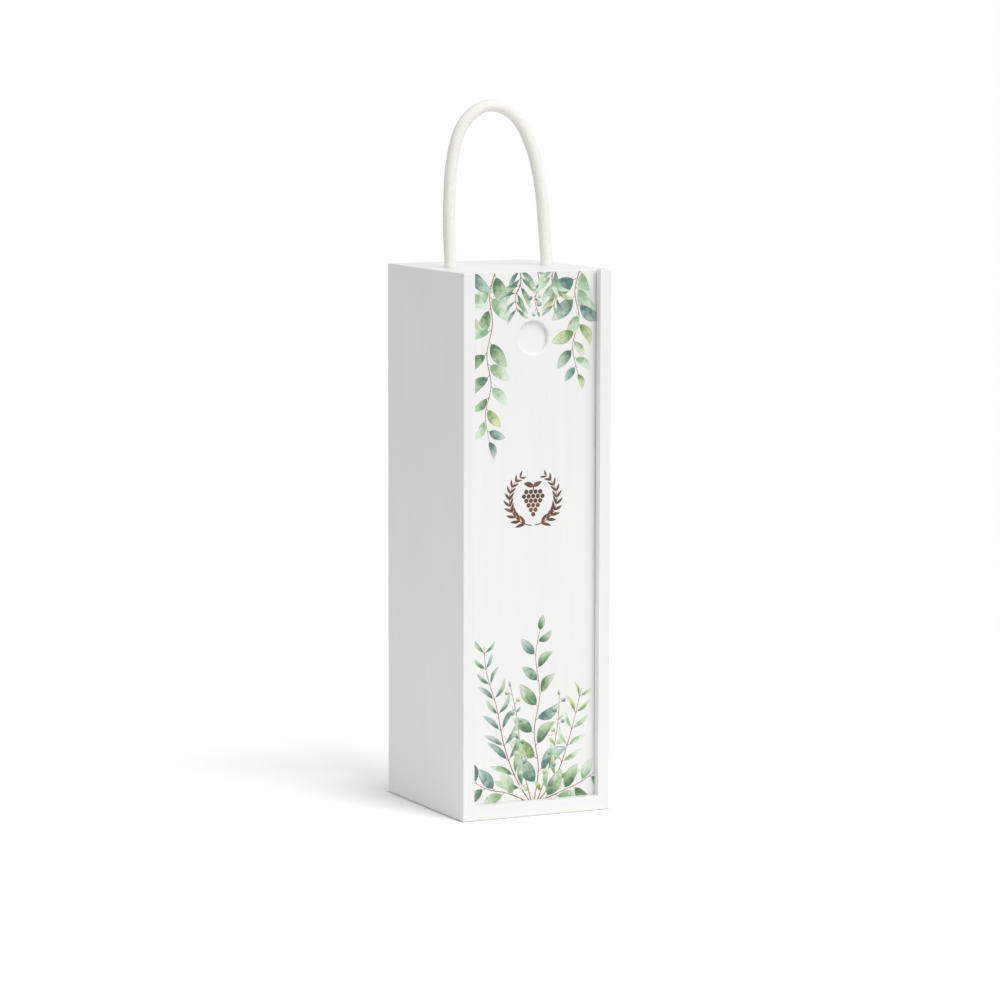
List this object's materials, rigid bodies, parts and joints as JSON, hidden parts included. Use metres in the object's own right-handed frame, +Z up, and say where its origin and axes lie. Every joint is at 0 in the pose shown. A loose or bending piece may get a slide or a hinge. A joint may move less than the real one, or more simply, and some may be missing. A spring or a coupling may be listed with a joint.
{
  "type": "wine box",
  "caption": "Tall painted wooden box for one bottle, with a front lid that slides up in grooves, a finger recess in the lid and a knotted rope handle on top.",
  "frame": {"origin": "centre of the box's base", "axes": "+Z up, -Y out of the lid's face, +X to the right as one faces the lid"},
  "size_m": [0.105, 0.116, 0.4585],
  "materials": {
    "painted_wood": "white satin paint",
    "painted_lid": "white satin paint with a printed leaf design",
    "cotton_rope": "braided cotton",
    "steel_brad": "bright drawn wire"
  },
  "bodies": {
    "box": {"side_left": "painted_wood", "side_right": "painted_wood", "back_board": "painted_wood", "top_board": "painted_wood", "bottom_board": "painted_wood", "rope_knot_left": "cotton_rope", "rope_knot_right": "cotton_rope", "brads_top": "steel_brad", "brads_bottom": "steel_brad", "brads_back": "steel_brad"},
    "lid": {"sliding_lid": "painted_lid"},
    "handle": {"rope_handle": "cotton_rope"}
  },
  "joints": [
    {"name": "lid_slide", "type": "slide", "parent": "box", "child": "lid", "axis": [0, 0, 1], "range_m": [0, 0.35]},
    {"name": "handle_swing", "type": "hinge", "parent": "box", "child": "handle", "pos_m": [0, 0, 0.3553], "axis": [-1, 0, 0], "range_deg": [-24, 90]}
  ]
}
